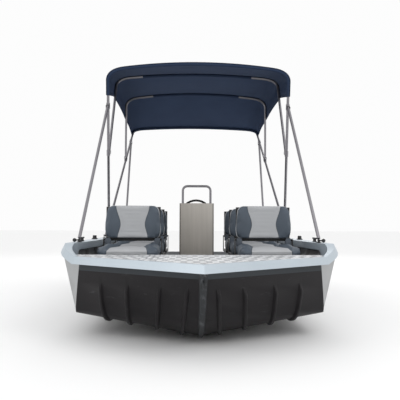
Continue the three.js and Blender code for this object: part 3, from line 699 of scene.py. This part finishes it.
def set_pad(seat, part, cover):
    node = f"{seat}_{part}"
    mesh = cover.copy()
    mesh.transform(Matrix.Translation(centre_of(node)))
    pad = put_in(node + "_vinyl", mesh, seat_vinyl, frame["nodes"][node]["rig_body"], 60)
    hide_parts(node)
    return pad


for seat in seat_names:
    set_pad(seat, "back_cushion", covers[0])
    set_pad(seat, "cushion", covers[1])
    dress(seat + "_back_shell", black_plastic, 0.002)
    dress(seat + "_base", black_plastic, 0.002)
print("seats dressed:", len(seat_names))

# %% [markdown]
# ## The sun top's hoops
# Four aluminium hoops carry the canvas. Each lies in a plane through its own pivot, so a point on a
# hoop is given by its distance across the boat and its distance from the pivot. The same rule
# gives both the tubes and the cloth over them, which is why the canvas lies true on every hoop.

# %% Hoops
class Hoop:
    run, drop, rise = 0.150, 0.112, 0.042   # shoulder run and drop, and the arch's rise

    def __init__(self, body, pivot, crown, shoulder_x, foot_x, hem_height):
        self.body, self.pivot = body, Vector((0, *pivot))
        reach = Vector((0, *crown)) - self.pivot
        self.length, self.up = reach.length, reach.normalized()
        self.crown = Vector((0, *crown))
        self.shoulder_x, self.foot_x, self.hem_height = shoulder_x, foot_x, hem_height

    def at(self, x, distance):
        return self.pivot + self.up * distance + Vector((x, 0, 0))

    def leg(self, distance):
        low = self.length - self.rise - self.drop
        return self.at(self.foot_x + (self.shoulder_x - self.foot_x) * distance / low, distance)

    def half(self, corner_steps=8, arch_steps=12):
        """Port half from the hem over to the crown: points, and how far each has turned to level."""
        inner, foot = self.shoulder_x - self.run, self.length - self.rise
        slope = 2 * self.rise / inner
        corner = [(self.shoulder_x, foot - self.drop), (self.shoulder_x, foot - slope * self.run),
                  (inner, foot)]
        arch = [(inner, foot), (inner / 2, self.length), (0, self.length)]

        def along(control, t):
            a, b, c = control
            return [(1 - t) ** 2 * a[i] + 2 * t * (1 - t) * b[i] + t * t * c[i] for i in (0, 1)]
        start = (self.hem_height - self.pivot.z) / self.up.z
        points = [(self.leg(start + (foot - self.drop - start) * t), 0.0) for t in (0, 0.5)]
        points += [(self.at(*along(corner, i / corner_steps)), i / corner_steps)
                   for i in range(corner_steps + 1)]
        points += [(self.at(*along(arch, i / arch_steps)), 1.0) for i in range(1, arch_steps + 1)]
        return points


def pin(joint):
    """Where a joint's pin crosses the centreline: its Y and Z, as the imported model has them."""
    return next(j for j in frame["joints"] if j["name"] == joint)["pos_m"][1:]


main_pin = pin("sun_top_fold")
hoops = [
    Hoop("front_bow", main_pin, (-0.595, 2.084), 0.803, 0.866, 1.829),
    Hoop("second_bow", pin("second_bow_fold"), (0.205, 2.209), 0.818, 0.829, 1.948),
    Hoop("third_bow", pin("third_bow_fold"), (1.005, 2.200), 0.820, 0.835, 1.922),
    Hoop("hull", main_pin, (1.805, 1.949), 0.806, 0.898, 1.835),
]
print("hoop lengths", [round(h.length, 3) for h in hoops])

# %% [markdown]
# ## Canvas
# Boat canvas is a solution-dyed acrylic: a plain weave, dull, with a faint two-tone from the
# yarns. The weave follows the cloth's own UV map, which is in metres. Near the hems the cloth is
# doubled and stitched, so an attribute, "hem", holds the distance to the edge.

# %% Canvas finish
def canvas(name, colour, weave=0.0011):
    finish = Finish(name, Specular_IOR_Level=0.12)
    uv = Wire(finish, finish.tree.nodes.new("ShaderNodeUVMap").outputs[0])
    across, along, _ = finish.axes(uv)
    warp = (across * (2 * math.pi / weave)).sine()
    weft = (along * (2 * math.pi / weave)).sine()
    yarn = warp * weft
    cloud = finish.noise(5, 4)
    faded = finish.noise(1.6, 2)
    tone = cloud * 0.5 + yarn * 0.2 + faded * 0.3
    edge = finish.node("ShaderNodeAttribute", {"attribute_name": "hem"}, {}, output=2)
    double = 1 - edge.above(0.026, 0.001)
    line = 1 - (edge - 0.026).size().above(0.0022, 0.0012)
    cloth = finish.blend(tone, [c * 0.80 for c in colour], [c * 1.22 for c in colour])
    finish.feed("Base Color", finish.blend(line * 0.6 + double * 0.12, cloth, [c * 0.35 for c in colour]))
    finish.feed("Roughness", 0.86 + yarn * 0.05)
    return finish.bump(yarn * 0.25 + double * 0.9 - line * 0.8, 0.0008, 0.8).material


navy = (0.034, 0.053, 0.102)
navy_canvas = canvas("navy_canvas", navy)
sleeve_canvas = canvas("navy_sleeve", [c * 0.82 for c in navy])

# %% [markdown]
# ## Cloth between the hoops
# Stretched cloth hangs as a shallow saddle: straight from hoop to hoop at the crown's line, with a
# little sag, and pulled in at the free side edges. Three panels meet at the second and third
# hoops, as they do where the real cover is sewn to its sleeves. Small soft wrinkles run from the
# corners, where the pull is greatest.

# %% Panels
from mathutils import noise


def cloth_normal(index):
    """Square to the cloth over one hoop, halfway between the runs before and after it."""
    before, after = hoops[max(index - 1, 0)].crown, hoops[min(index + 1, 3)].crown
    run = (after - before).normalized()
    return Vector((0, -run.z, run.y))


def cloth_station(index, grow):
    half = []
    for point, turned in hoops[index].half():
        angle = turned * math.pi / 2
        across = Vector((grow * math.cos(angle), 0, 0))
        half.append(point + across + cloth_normal(index) * (grow * math.sin(angle)))
    return half + [Vector((-p.x, p.y, p.z)) for p in reversed(half[:-1])]


def panel_mesh(index, rows=22, grow=0.0152, sag=0.013, lip=0.014):
    first, last = cloth_station(index, grow), cloth_station(index + 1, grow)
    shares = [row / rows for row in range(rows + 1)]
    count = len(first)
    grid = []
    for share in shares:
        row = []
        for k, (a, b) in enumerate(zip(first, last)):
            side = abs(2 * k / (count - 1) - 1)
            point = a.lerp(b, share)
            belly = math.sin(math.pi * share)
            flat = ease((1 - side) / 0.2)
            point.z -= sag * belly * flat
            point.x *= 1 - 0.010 * belly * (1 - flat)
            ripple = noise.noise(Vector((point.x * 3.1, point.y * 1.4 + index * 7, 0.5)))
            pull = noise.noise(Vector((point.x * 14, point.y * 3.0, 4.5 + index)))
            point.z += belly * (0.0045 * ripple * flat + 0.0022 * pull * ease((side - 0.35) / 0.4))
            row.append(point)
        grid.append(row)
    if index == 0:
        grid.insert(0, [p + Vector((0, -lip, -0.002)) for p in grid[0]])
    if index == 2:
        grid.append([p + Vector((0, lip, -0.004)) for p in grid[-1]])
    return grid


def grid_sheet(name, grid):
    """A mesh from rows of points, with a UV map in metres and the distance to the side edges."""
    columns = len(grid[0])
    across, along = [0.0], [0.0]
    middle = grid[len(grid) // 2]
    for a, b in zip(middle, middle[1:]):
        across.append(across[-1] + (b - a).length)
    for a, b in zip(grid, grid[1:]):
        along.append(along[-1] + (b[columns // 2] - a[columns // 2]).length)
    mesh = bpy.data.meshes.new(name)
    faces = [(r * columns + c, (r + 1) * columns + c, (r + 1) * columns + c + 1, r * columns + c + 1)
             for r in range(len(grid) - 1) for c in range(columns - 1)]
    mesh.from_pydata([p for row in grid for p in row], [], faces)
    uv = mesh.uv_layers.new(name="cloth")
    for loop in mesh.loops:
        row, column = divmod(loop.vertex_index, columns)
        uv.data[loop.index].uv = (across[column], along[row])
    hem = mesh.attributes.new("hem", "FLOAT", "POINT")
    width = across[-1]
    hem.data.foreach_set("value", [min(across[c], width - across[c]) for _ in grid for c in range(columns)])
    area = sum(p.area for p in mesh.polygons)
    return mesh, width, along[-1], area


panel_names = ["canopy_front_panel", "canopy_middle_panel", "canopy_rear_panel"]
panels = []
for index, name in enumerate(panel_names):
    mesh, width, length, area = grid_sheet(name, panel_mesh(index))
    panel = bpy.data.objects.new(name, mesh)
    bpy.context.scene.collection.objects.link(panel)
    mesh.materials.append(navy_canvas)
    mesh.shade_smooth()
    wall = panel.modifiers.new("cloth thickness", "SOLIDIFY")
    wall.thickness = 0.002
    wall.offset = 0
    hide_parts("canopy")
    panels.append(panel)
    print(name, "cut", round(width, 3), "x", round(length, 3), "m, area", round(area, 3))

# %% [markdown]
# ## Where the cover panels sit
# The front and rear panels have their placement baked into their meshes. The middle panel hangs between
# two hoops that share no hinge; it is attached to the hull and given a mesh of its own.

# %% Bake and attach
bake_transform(panels[0])
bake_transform(panels[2])
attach(panels[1], "hull")
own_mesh(panels[1])

# %% [markdown]
# ## Sleeves over the hoops
# The cover is held by sleeves sewn under it. The first and last hoops run in full sleeves down to
# the hem. The two middle ones are sleeved only across the crown, so their bare shoulders show.
# A sleeve is a tube of cloth, a little loose, built ring by ring along the hoop.

# %% Tube along a path
def tube_mesh(name, path, radius, sides=14, closed=False, loose=0.0):
    """A capped tube along points, its rings kept from twisting."""
    count = len(path)
    skin = bmesh.new()
    rings, sideways = [], None
    for i, point in enumerate(path):
        before = path[(i - 1) % count] if closed or i else point
        after = path[(i + 1) % count] if closed or i < count - 1 else point
        ahead = (after - before).normalized()
        if sideways is None:
            sideways = ahead.orthogonal()
        sideways = (sideways - ahead * sideways.dot(ahead)).normalized()
        other = ahead.cross(sideways)
        ring = []
        for k in range(sides):
            angle = 2 * math.pi * k / sides
            wave = 1 + loose * noise.noise(Vector((i * 0.7, k * 0.9, 3.0)))
            spoke = sideways * math.cos(angle) + other * math.sin(angle)
            ring.append(skin.verts.new(point + spoke * radius * wave))
        rings.append(ring)
    pairs = list(zip(rings, rings[1:] + rings[:1])) if closed else list(zip(rings, rings[1:]))
    for a, b in pairs:
        for k in range(sides):
            n = (k + 1) % sides
            skin.faces.new((a[k], a[n], b[n], b[k]))
    if not closed:
        skin.faces.new(list(reversed(rings[0])))
        skin.faces.new(rings[-1])
    mesh = bpy.data.meshes.new(name)
    skin.to_mesh(mesh)
    skin.free()
    return mesh


def hoop_path(hoop, reach=None):
    """The hoop from side to side, whole or only as far out as reach."""
    half = [p for p, _ in hoop.half(12, 24)]
    whole = half + [Vector((-p.x, p.y, p.z)) for p in reversed(half[:-1])]
    return whole if reach is None else [p for p in whole if abs(p.x) < reach]


for hoop, name, reach in zip(hoops, ["front", "second", "third", "rear"], [None, 0.56, 0.52, None]):
    mesh = tube_mesh(name + "_sleeve", hoop_path(hoop, reach), 0.0141, 16, loose=0.03)
    sleeve = put_in(name + "_sleeve", mesh, sleeve_canvas, hoop.body, 60)
    print(sleeve.name, len(mesh.polygons), "faces")

# %% [markdown]
# ## Stitches, by Geometry Nodes
# A sewn line is one small thread bead repeated at a fixed pitch. The tree resamples a path at that
# pitch, lays a bead along the path at each point, and makes the result real.

# %% Tree helpers
def new_tree(name, inputs):
    tree = bpy.data.node_groups.new(name, "GeometryNodeTree")
    tree.interface.new_socket("Geometry", in_out="INPUT", socket_type="NodeSocketGeometry")
    for label, kind, default in inputs:
        socket = tree.interface.new_socket(label, in_out="INPUT", socket_type=kind)
        if default is not None:
            socket.default_value = default
    tree.interface.new_socket("Geometry", in_out="OUTPUT", socket_type="NodeSocketGeometry")
    return tree, tree.nodes.new("NodeGroupInput"), tree.nodes.new("NodeGroupOutput")


def run_tree(name, tree, source, values):
    """Run a tree on an object and keep the result as a plain mesh."""
    holder = bpy.data.objects.new(name + "_source", source)
    bpy.context.scene.collection.objects.link(holder)
    nodes = holder.modifiers.new("nodes", "NODES")
    nodes.node_group = tree
    for item in tree.interface.items_tree:
        if item.in_out == "INPUT" and item.name in values:
            nodes[item.identifier] = values[item.name]
    mesh = bpy.data.meshes.new_from_object(holder.evaluated_get(bpy.context.evaluated_depsgraph_get()))
    mesh.name = name
    bpy.data.objects.remove(holder)
    return mesh


def path_source(name, path):
    curve = bpy.data.curves.new(name, "CURVE")
    curve.dimensions = "3D"
    spline = curve.splines.new("POLY")
    spline.points.add(len(path) - 1)
    for point, place in zip(spline.points, path):
        point.co = (*place, 1)
    return curve


# %% Stitch tree
def stitch_tree():
    tree, start, end = new_tree("stitch line", [
        ("Pitch", "NodeSocketFloat", 0.006), ("Stitch Length", "NodeSocketFloat", 0.0042),
        ("Thread Radius", "NodeSocketFloat", 0.0006), ("Thread", "NodeSocketMaterial", None)])
    add, link = tree.nodes.new, tree.links.new
    even = add("GeometryNodeResampleCurve")
    even.mode = "LENGTH"
    bead = add("GeometryNodeMeshCylinder")
    bead.inputs["Vertices"].default_value = 6
    lay = add("FunctionNodeAlignRotationToVector")
    lay.axis = "Z"
    tangent = add("GeometryNodeInputTangent")
    points = add("GeometryNodeInstanceOnPoints")
    real = add("GeometryNodeRealizeInstances")
    finish = add("GeometryNodeSetMaterial")
    link(start.outputs["Geometry"], even.inputs["Curve"])
    link(start.outputs["Pitch"], even.inputs["Length"])
    link(start.outputs["Thread Radius"], bead.inputs["Radius"])
    link(start.outputs["Stitch Length"], bead.inputs["Depth"])
    link(even.outputs[0], points.inputs["Points"])
    link(bead.outputs["Mesh"], points.inputs["Instance"])
    link(tangent.outputs[0], lay.inputs["Vector"])
    link(lay.outputs[0], points.inputs["Rotation"])
    link(points.outputs[0], real.inputs[0])
    link(real.outputs[0], finish.inputs["Geometry"])
    link(start.outputs["Thread"], finish.inputs["Material"])
    link(finish.outputs[0], end.inputs[0])
    return tree


def thread_finish(name, colour):
    finish = Finish(name, Specular_IOR_Level=0.3)
    fibre = finish.noise(2600, 2)
    finish.feed("Base Color", finish.blend(fibre, [c * 0.7 for c in colour], colour))
    finish.feed("Roughness", 0.6 + fibre * 0.2)
    return finish.material


sewing = stitch_tree()
navy_thread = thread_finish("navy_thread", (0.055, 0.075, 0.13))

# %% [markdown]
# Two rows of stitches hold each sleeve to the cover, one on each side of the hoop.

# %% Sew the sleeves
def seam_rows(index, side):
    """A line on top of the cloth, beside one hoop."""
    run = Vector((0, cloth_normal(index).z, -cloth_normal(index).y))
    outer = cloth_station(index, 0.0152 + 0.0015)
    return [p + run * side for p in outer[2:-2]]


for index, hoop in enumerate(hoops):
    sides_here = [-0.012, 0.018] if index == 0 else [-0.018, 0.012] if index == 3 else [-0.018, 0.018]
    lines = [run_tree("line", sewing, path_source("line", seam_rows(index, side)), {"Thread": navy_thread})
             for side in sides_here]
    joined = bmesh.new()
    for line in lines:
        joined.from_mesh(line)
    mesh = bpy.data.meshes.new("sleeve_stitches")
    joined.to_mesh(mesh)
    joined.free()
    name = ["front", "second", "third", "rear"][index] + "_sleeve_stitches"
    stitches = put_in(name, mesh, navy_thread, hoop.body, 40)
    print(name, len(mesh.polygons), "faces")

# %% [markdown]
# ## Chequer plate
# The foredeck is aluminium tread plate: groups of five raised bars, turned a quarter from one
# square to the next, so each square catches the light differently. A flat plate with a bump map
# would lose that sparkle at the rim, so the bars are real: one pattern of five low bars, laid on
# every square of a grid that fits inside the deck's outline.

# %% Tread finish
tread_cell = 0.038


def tread_finish(name, bright, shaded):
    """Polished plate: squares of bars that face the light alternate with squares that do not."""
    finish = Finish(name, Metallic=0.85)
    x, y, z = finish.axes()
    column = (x / tread_cell + 0.5).maths("FLOOR")
    row = ((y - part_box("foredeck")[0].y) / tread_cell).maths("FLOOR")
    band = ((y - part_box("foredeck")[0].y) / (4 * tread_cell)).maths("FLOOR")
    odd = ((column + row) * 0.5).maths("FRACT") * 0.5 + ((column + band) * 0.5).maths("FRACT") * 1.5
    cloud = finish.noise(4, 4)
    lines = finish.noise(60, 3, 0.6, finish.stretched((1, 0.05, 1)))
    tone = odd * 0.62 + cloud * 0.38
    finish.feed("Base Color", finish.blend(tone, shaded, bright))
    finish.feed("Roughness", 0.26 + lines * 0.12 + odd * 0.10)
    return finish.bump(lines, 0.0001).material


tread_metal = tread_finish("tread_plate", (0.98, 0.99, 1.0), (0.34, 0.35, 0.37))

# %% Tread bars


def five_bars(length=0.030, width=0.0046, height=0.0013, gap=0.0066):
    bars = bmesh.new()
    for i in range(5):
        x = (i - 2) * gap
        rim = [(-0.5, 0.0), (-0.28, 0.42), (0.28, 0.42), (0.5, 0.0), (0.28, -0.42), (-0.28, -0.42)]
        foot = [bars.verts.new((x + v * width, u * length, 0)) for u, v in rim]
        ridge = [bars.verts.new((x, u * length, height)) for u in (-0.25, 0.25)]
        bars.faces.new((foot[0], ridge[0], foot[1]))
        bars.faces.new((foot[1], ridge[0], ridge[1], foot[2]))
        bars.faces.new((foot[2], ridge[1], foot[3]))
        bars.faces.new((foot[3], ridge[1], foot[4]))
        bars.faces.new((foot[4], ridge[1], ridge[0], foot[5]))
        bars.faces.new((foot[5], ridge[0], foot[0]))
    bmesh.ops.recalc_face_normals(bars, faces=bars.faces)
    if bars.faces[0].normal.z < 0:
        bmesh.ops.reverse_faces(bars, faces=bars.faces)
    mesh = bpy.data.meshes.new("five_bars")
    bars.to_mesh(mesh)
    bars.free()
    return mesh


def deck_cells(node, cell, margin):
    """Centres of the squares that lie wholly on a plate, and a quarter turn for every other one."""
    low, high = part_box(node)
    skin = bmesh.new()
    skin.from_mesh(frame["nodes"][node].data)
    tree = BVHTree.FromBMesh(skin)
    skin.free()
    centres, turns = [], []
    columns, rows = int((high.x - low.x) / cell), int((high.y - low.y) / cell)
    for i in range(-columns // 2, columns // 2 + 1):
        for j in range(rows + 1):
            x, y = i * cell, low.y + (j + 0.5) * cell
            reach = cell / 2 + margin
            corners = [(x + a, y + b) for a in (-reach, reach) for b in (-reach, reach)]
            if all(tree.ray_cast(Vector((a, b, high.z + 1)), Vector((0, 0, -1)))[0] for a, b in corners):
                centres.append((x, y, high.z))
                turns.append((i + j) % 2 * math.pi / 2)
    return centres, turns


def tread_tree():
    sockets = [("Pattern", "NodeSocketObject", None), ("Metal", "NodeSocketMaterial", None)]
    tree, start, end = new_tree("tread plate", sockets)
    add, link = tree.nodes.new, tree.links.new
    pattern = add("GeometryNodeObjectInfo")
    turn = add("GeometryNodeInputNamedAttribute")
    spin = add("ShaderNodeCombineXYZ")
    turn.data_type = "FLOAT"
    turn.inputs["Name"].default_value = "turn"
    points = add("GeometryNodeInstanceOnPoints")
    real = add("GeometryNodeRealizeInstances")
    finish = add("GeometryNodeSetMaterial")
    link(start.outputs["Pattern"], pattern.inputs["Object"])
    link(start.outputs["Geometry"], points.inputs["Points"])
    link(pattern.outputs["Geometry"], points.inputs["Instance"])
    link(turn.outputs["Attribute"], spin.inputs["Z"])
    link(spin.outputs[0], points.inputs["Rotation"])
    link(points.outputs[0], real.inputs[0])
    link(real.outputs[0], finish.inputs["Geometry"])
    link(start.outputs["Metal"], finish.inputs["Material"])
    link(finish.outputs[0], end.inputs[0])
    return tree


centres, turns = deck_cells("foredeck", tread_cell, 0.001)
cells = bpy.data.meshes.new("cells")
cells.from_pydata(centres, [], [])
cells.attributes.new("turn", "FLOAT", "POINT").data.foreach_set("value", turns)
pattern = bpy.data.objects.new("five_bars", five_bars())
bpy.context.scene.collection.objects.link(pattern)
tread = run_tree("foredeck_tread", tread_tree(), cells, {"Pattern": pattern, "Metal": tread_metal})
bpy.data.objects.remove(pattern)
put_in("foredeck_tread", tread, tread_metal, "hull", 20)
dress("foredeck", tread_metal, 0.001)
print("tread:", len(centres), "squares,", len(tread.polygons), "faces")

# %% [markdown]
# ## Piping and hinge covers
# A light welt is sewn round the front of every backrest, and moulded covers hide the hinge straps
# at its foot. The welt is a cord inside a strip of vinyl, so it is a thin tube along the outline.

# %% Piping and covers
welt_path = [Vector((p.x, back_half.y - 0.016, p.y)) for p in back_outline(-0.0005, 6)]
welt = tube_mesh("welt", welt_path, 0.0036, 8, closed=True)
bmesh_welt = bmesh.new()
bmesh_welt.from_mesh(welt)
bmesh.ops.recalc_face_normals(bmesh_welt, faces=bmesh_welt.faces)
bmesh_welt.to_mesh(welt)
bmesh_welt.free()


def hinge_cover(seat, side):
    """A rounded block between the cushion and the backrest, over one hinge strap."""
    back_low, back_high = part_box(f"{seat}_back_cushion")
    seat_low, seat_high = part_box(f"{seat}_cushion")
    outer = back_high.x if side > 0 else back_low.x
    inner = outer - side * 0.050
    xs = sorted((outer - side * 0.004, inner))
    outline = rounded_outline([(xs[0], seat_high.z - 0.012, 0.008), (xs[1], seat_high.z - 0.012, 0.008),
                               (xs[1], back_low.z - 0.003, 0.012), (xs[0], back_low.z - 0.003, 0.012)], 4)
    middle = back_low.y + 0.035
    return foam_block(outline, middle - 0.018, middle + 0.018, 0.005, lambda x, y, h: (x, h, y))


for seat in seat_names:
    body = frame["nodes"][seat + "_back_cushion"]["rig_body"]
    mesh = welt.copy()
    mesh.transform(Matrix.Translation(centre_of(seat + "_back_cushion")))
    put_in(seat + "_welt", mesh, piping_vinyl, body, 60)
    for side, word in ((1, "left"), (-1, "right")):
        put_in(f"{seat}_hinge_cover_{word}", hinge_cover(seat, side), slate_plastic, "hull", 40)
welt_length = sum((a - b).length for a, b in zip(welt_path, welt_path[1:]))
print("piping", round(welt_length, 3), "m round each backrest")
